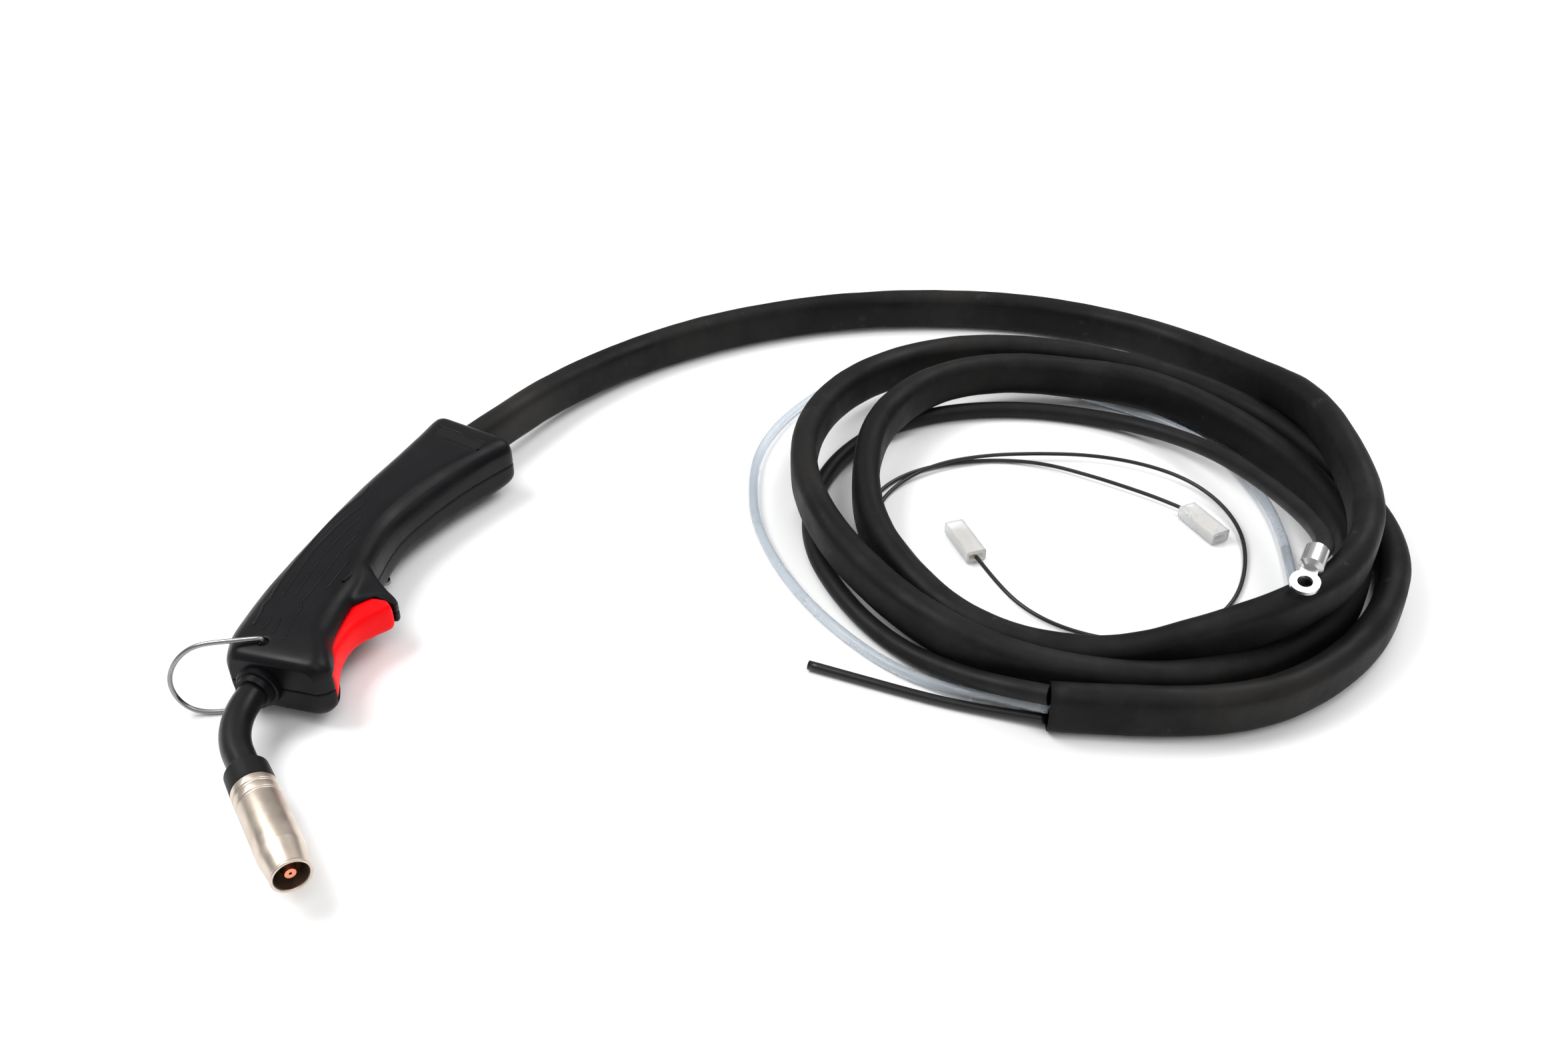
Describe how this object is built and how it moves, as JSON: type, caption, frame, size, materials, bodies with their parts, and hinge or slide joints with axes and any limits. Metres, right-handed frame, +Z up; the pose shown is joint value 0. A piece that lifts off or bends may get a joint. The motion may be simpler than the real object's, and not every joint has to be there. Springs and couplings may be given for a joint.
{
  "type": "gas-shielded welding torch",
  "caption": "Hand-held gas-shielded (MIG/MAG) welding torch: swan neck, sliding gas nozzle, sprung trigger, hanging hook and coiled cable with bare machine-end leads.",
  "frame": {"origin": "on the floor under the centre of the torch's own box, cables left out", "axes": "+X from the swan neck to the rear of the handle, +Z up from the side it lies on, trigger towards -Y"},
  "size_m": [0.5383, 0.5239, 0.0646],
  "materials": {
    "handle_plastic": "fine satin grain",
    "label_plastic": "matt, blank",
    "neck_insulation": "smooth satin",
    "insulator_plastic": "matt",
    "switch_plastic": "matt",
    "trigger_plastic": "satin gloss",
    "connector_plastic": "translucent, smooth",
    "liner_plastic": "smooth",
    "wire_insulation": "smooth black PVC",
    "sheath_rubber": "satin",
    "cable_rubber": "matt",
    "hose_clear": "translucent, smooth",
    "steel": "bright zinc plated",
    "spring_steel": "drawn",
    "brass": "machined",
    "copper_tube": "drawn copper",
    "tip_copper": "machined copper alloy",
    "nozzle_copper": "nickel plated, satin",
    "lug_metal": "tinned copper"
  },
  "bodies": {
    "torch": {"handle_top_shell": "handle_plastic", "handle_bottom_shell": "handle_plastic", "label_plate": "label_plastic", "shell_screw_1": "steel", "shell_screw_2": "steel", "shell_screw_3": "steel", "shell_screw_4": "steel", "shell_screw_5": "steel", "neck_sleeve": "neck_insulation", "neck_tube": "copper_tube", "neck_liner": "spring_steel", "neck_collar": "handle_plastic", "neck_block": "brass", "insulator": "insulator_plastic", "nozzle_clip_ring": "spring_steel", "gas_diffuser": "brass", "contact_tip": "tip_copper", "trigger_pin": "steel", "switch_body": "switch_plastic", "switch_terminal_1": "brass", "switch_terminal_2": "brass", "trigger_spring": "spring_steel", "inner_power_lead": "cable_rubber", "inner_gas_hose": "hose_clear", "inner_liner": "liner_plastic", "switch_lead_1": "wire_insulation", "switch_lead_2": "wire_insulation", "cable_clamp_upper": "handle_plastic", "cable_clamp_lower": "handle_plastic", "cable_sheath": "sheath_rubber", "power_cable": "cable_rubber", "gas_hose": "hose_clear", "liner_tube": "liner_plastic", "control_wire_a": "wire_insulation", "control_wire_b": "wire_insulation", "cable_lug": "lug_metal", "connector_housing_a": "connector_plastic", "connector_housing_b": "connector_plastic", "spade_terminal_a": "brass", "spade_terminal_b": "brass"},
    "trigger": {"trigger": "trigger_plastic"},
    "plunger": {"switch_plunger": "switch_plastic"},
    "hook": {"hook_wire": "steel"},
    "nozzle": {"nozzle": "nozzle_copper"}
  },
  "joints": [
    {"name": "trigger_squeeze", "type": "hinge", "parent": "torch", "child": "trigger", "pos_m": [-0.0435, -0.0095, 0.019], "axis": [0, 0, 1], "range_deg": [0, 5], "stiffness_Nm_per_rad": 0.6, "springref_deg": -8.59, "deforming": ["trigger_spring"]},
    {"name": "plunger_press", "type": "slide", "parent": "torch", "child": "plunger", "axis": [0, 1, 0], "range_m": [0, 0.0031]},
    {"name": "hook_swing", "type": "hinge", "parent": "torch", "child": "hook", "pos_m": [-0.0432, 0.0173, 0.019], "axis": [0, 0, 1], "range_deg": [-40, 50]},
    {"name": "nozzle_pull", "type": "slide", "parent": "torch", "child": "nozzle", "axis": [-0.6845, -0.729, 0], "range_m": [0, 0.015]}
  ],
  "couplings": [
    {"joint": "plunger_press", "follows": "trigger_squeeze", "m_per_rad": 0.0345}
  ]
}
